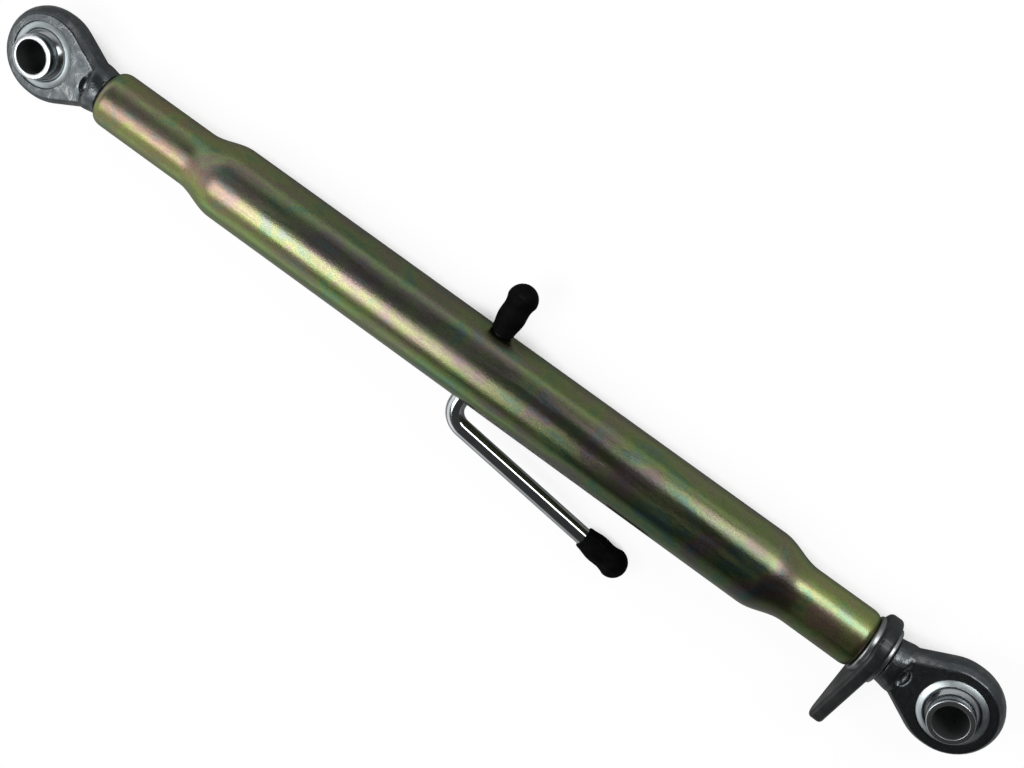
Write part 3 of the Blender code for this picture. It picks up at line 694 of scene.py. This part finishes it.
# %% Threaded bar pieces
CREST, ROOT, PITCH = 0.018, 0.0157, 0.004
FLANK_FOOT, FLANK_TOP, CREST_END = 0.125, 0.5, 0.625
BAR_LENGTH, BAR_TIP, BAR_TIP_BREAK, BAR_INSET, THREAD_STEPS = 0.230, 0.002, 0.0002, 0.0003, 48
EYE_REACH = 0.0558
for side, heading, hand in (("tractor", X, -1), ("implement", -X, 1)):
    start = ball_centre[side] + heading * EYE_REACH
    bm = bmesh.new()
    comb = []
    for tooth in range(-2, int(BAR_LENGTH / PITCH) + 3):
        for along, radius in ((0, ROOT), (FLANK_FOOT, ROOT), (FLANK_TOP, CREST), (CREST_END, CREST)):
            comb.append(bm.verts.new(start + heading * (tooth + along) * PITCH + Z * radius))
    teeth = [bm.edges.new(pair) for pair in zip(comb, comb[1:])]
    bmesh.ops.spin(bm, geom=comb + teeth, cent=start, axis=heading, dvec=heading * hand * PITCH / THREAD_STEPS,
                   angle=2 * math.pi, steps=THREAD_STEPS, use_duplicate=False)
    bmesh.ops.remove_doubles(bm, verts=bm.verts, dist=SAME_POINT)
    for place, outward in ((0.0, -heading), (BAR_LENGTH, heading)):
        cut = bmesh.ops.bisect_plane(bm, geom=bm.verts[:] + bm.edges[:] + bm.faces[:],
                                     plane_co=start + heading * place, plane_no=outward, clear_outer=True)
        rim = [item for item in cut["geom_cut"] if isinstance(item, bmesh.types.BMEdge)]
        bmesh.ops.edgeloop_fill(bm, edges=rim)
    bmesh.ops.recalc_face_normals(bm, faces=bm.faces)
    blank = spun([(-0.001, 0), (-0.001, CREST + 0.001), (BAR_LENGTH - BAR_TIP - BAR_TIP_BREAK, CREST + 0.0005),
                  (BAR_LENGTH - BAR_INSET, CREST - BAR_TIP), (BAR_LENGTH - BAR_INSET, 0)], start, heading,
                 closed=False)
    finish_piece(combined(bm, blank, "INTERSECT"), f"{side}_threaded_bar", f"{side}_screw", bright_zinc, 28)

# %% [markdown]
# ## Lock nut and lever
# The nut jams against the barrel. Its lever is a teardrop plate: the hull of a large disc and a
# small one, with all its edges rounded and a hole for the nut.

# %% Lock nut piece
NUT, NUT_EDGE, NUT_CLEARANCE = 0.0225, 0.0015, 0.0003
nut_low, nut_high = (Vector(corner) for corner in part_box("lock_nut"))
nut_length = nut_high.x - nut_low.x
section = [(0, BORE), *arc((NUT_EDGE, NUT - NUT_EDGE), (-NUT_EDGE, NUT_EDGE), 90, 0, 6),
           *arc((nut_length - NUT_EDGE, NUT - NUT_EDGE), (NUT_EDGE, NUT_EDGE), 0, 90, 6), (nut_length, BORE)]
finish_piece(spun(section, Vector((nut_low.x, AXIS.y, AXIS.z)), X), "round_lock_nut", "lock_nut", bright_zinc)

# %% Lock lever piece
HUB, TIP, REACH, LEVER_EDGE = 0.0278, 0.0074, 0.0712, 0.003
DROP = math.radians(8)
lever_low, lever_high = (Vector(corner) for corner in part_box("lock_lever"))
plate_thickness = lever_high.x - lever_low.x
lever_middle = AXIS + X * (lever_low.x + lever_high.x) / 2
upright = Matrix.Rotation(math.pi / 2, 4, "Y")
tip_way = Vector((0, -math.cos(DROP), -math.sin(DROP)))
bm = bmesh.new()
for radius, place in ((HUB, lever_middle), (TIP, lever_middle + tip_way * REACH)):
    bmesh.ops.create_cone(bm, cap_ends=True, segments=96, radius1=radius, radius2=radius, depth=plate_thickness,
                          matrix=Matrix.Translation(place) @ upright)
hull = bmesh.ops.convex_hull(bm, input=bm.verts)
spare = {item for key in ("geom_interior", "geom_unused") for item in hull[key]
         if isinstance(item, bmesh.types.BMVert)}
bmesh.ops.delete(bm, geom=list(spare), context="VERTS")
old_caps = [face for face in bm.faces if len(face.verts) > 4]
bmesh.ops.delete(bm, geom=old_caps, context="FACES_ONLY")
bmesh.ops.dissolve_limit(bm, angle_limit=math.radians(1), verts=bm.verts, edges=bm.edges)
bmesh.ops.recalc_face_normals(bm, faces=bm.faces)
corners = [edge for edge in bm.edges if edge.is_manifold and edge.calc_face_angle() > math.radians(60)]
bmesh.ops.bevel(bm, geom=corners, offset=LEVER_EDGE, offset_type="OFFSET", segments=5, profile=0.5, affect="EDGES",
                material=-1)
opening = rod(0.02, NUT + NUT_CLEARANCE, lever_middle, X)
finish_piece(combined(bm, opening, "DIFFERENCE"), "teardrop_lever", "lock_lever", black_iron, 40)

# %% [markdown]
# ## Swing handle
# A round bar goes through the barrel and bends back along it. It is drawn the way it is bent: a
# circle is pulled straight, swept round the bend, and pulled straight again.

# %% Handle frame
STUB, BEND_START, BEND_RADIUS, BEND = 0.031, 0.0362, 0.0157, math.radians(80.3)
LEG, GRIP_LENGTH, GRIP_HEAD, GRIP_DEPTH = 0.1215, 0.0407, 0.0117, 0.033
run = LEG + GRIP_LENGTH - GRIP_HEAD
swing = math.asin((TUBE - GRIP_HEAD) / (BEND_RADIUS * (1 - math.cos(BEND)) + run * math.sin(BEND)))
along = Vector((math.cos(swing), 0, -math.sin(swing)))
leg_way = along * math.sin(BEND) - Y * math.cos(BEND)
bend_centre = handle_place - Y * BEND_START + along * BEND_RADIUS
bend_end = bend_centre - along * BEND_RADIUS * math.cos(BEND) - Y * BEND_RADIUS * math.sin(BEND)
print("handle dips by", round(math.degrees(swing), 2), "degrees")

# %% Handle bar piece
bm = bmesh.new()
first = handle_place + Y * (STUB + GRIP_DEPTH)
bmesh.ops.create_circle(bm, segments=48, radius=BAR,
                        matrix=Matrix.Translation(first) @ Matrix.Rotation(math.pi / 2, 4, "X"))
edge_loop = list(bm.edges)


def pulled(edges, way):
    grown = bmesh.ops.extrude_edge_only(bm, edges=edges)["geom"]
    bmesh.ops.translate(bm, verts=[item for item in grown if isinstance(item, bmesh.types.BMVert)], vec=way)
    return [item for item in grown if isinstance(item, bmesh.types.BMEdge)]


edge_loop = pulled(edge_loop, -Y * (STUB + GRIP_DEPTH + BEND_START))
bent = bmesh.ops.spin(bm, geom=edge_loop, cent=bend_centre, axis=along.cross(Y), angle=BEND, steps=28,
                      use_duplicate=False)["geom_last"]
edge_loop = pulled([item for item in bent if isinstance(item, bmesh.types.BMEdge)], leg_way * (LEG + GRIP_DEPTH))
bmesh.ops.holes_fill(bm, edges=bm.edges, sides=0)
bmesh.ops.recalc_face_normals(bm, faces=bm.faces)
finish_piece(bm, "bent_handle_bar", "handle_bar", chrome_bar)

# %% Grip pieces
GRIP_SHARES = ((0.00, 0.73), (0.02, 0.76), (0.11, 0.79), (0.22, 0.875), (0.33, 0.915), (0.45, 0.885),
               (0.54, 0.865), (0.62, 0.905), (0.68, 0.97))


def eased(points, times=2):
    """Corner cutting that turns a coarse outline into a soft one, with its ends kept."""
    for _ in range(times):
        cut = [points[0]]
        for (a, b), (c, d) in zip(points, points[1:]):
            cut += [(a * 0.75 + c * 0.25, b * 0.75 + d * 0.25), (a * 0.25 + c * 0.75, b * 0.25 + d * 0.75)]
        points = cut + [points[-1]]
    return points


outline = eased([(GRIP_LENGTH * place, GRIP_HEAD * share) for place, share in GRIP_SHARES]
                + arc((GRIP_LENGTH - GRIP_HEAD, 0), (GRIP_HEAD, GRIP_HEAD), 0, 90, 8))
outline[-1] = (outline[-1][0], 0)
socket_depth, socket_radius = GRIP_DEPTH + BAR_CLEARANCE, BAR + BAR_CLEARANCE
outline = [(socket_depth, 0), (socket_depth, socket_radius), (0, socket_radius)] + outline
for name, node_name, base, way in (("stub_grip", "short_grip", handle_place + Y * STUB, Y),
                                   ("leg_grip", "long_grip", bend_end + leg_way * LEG, leg_way)):
    finish_piece(spun(outline, base, way, closed=False, steps=96), name, node_name, black_rubber)
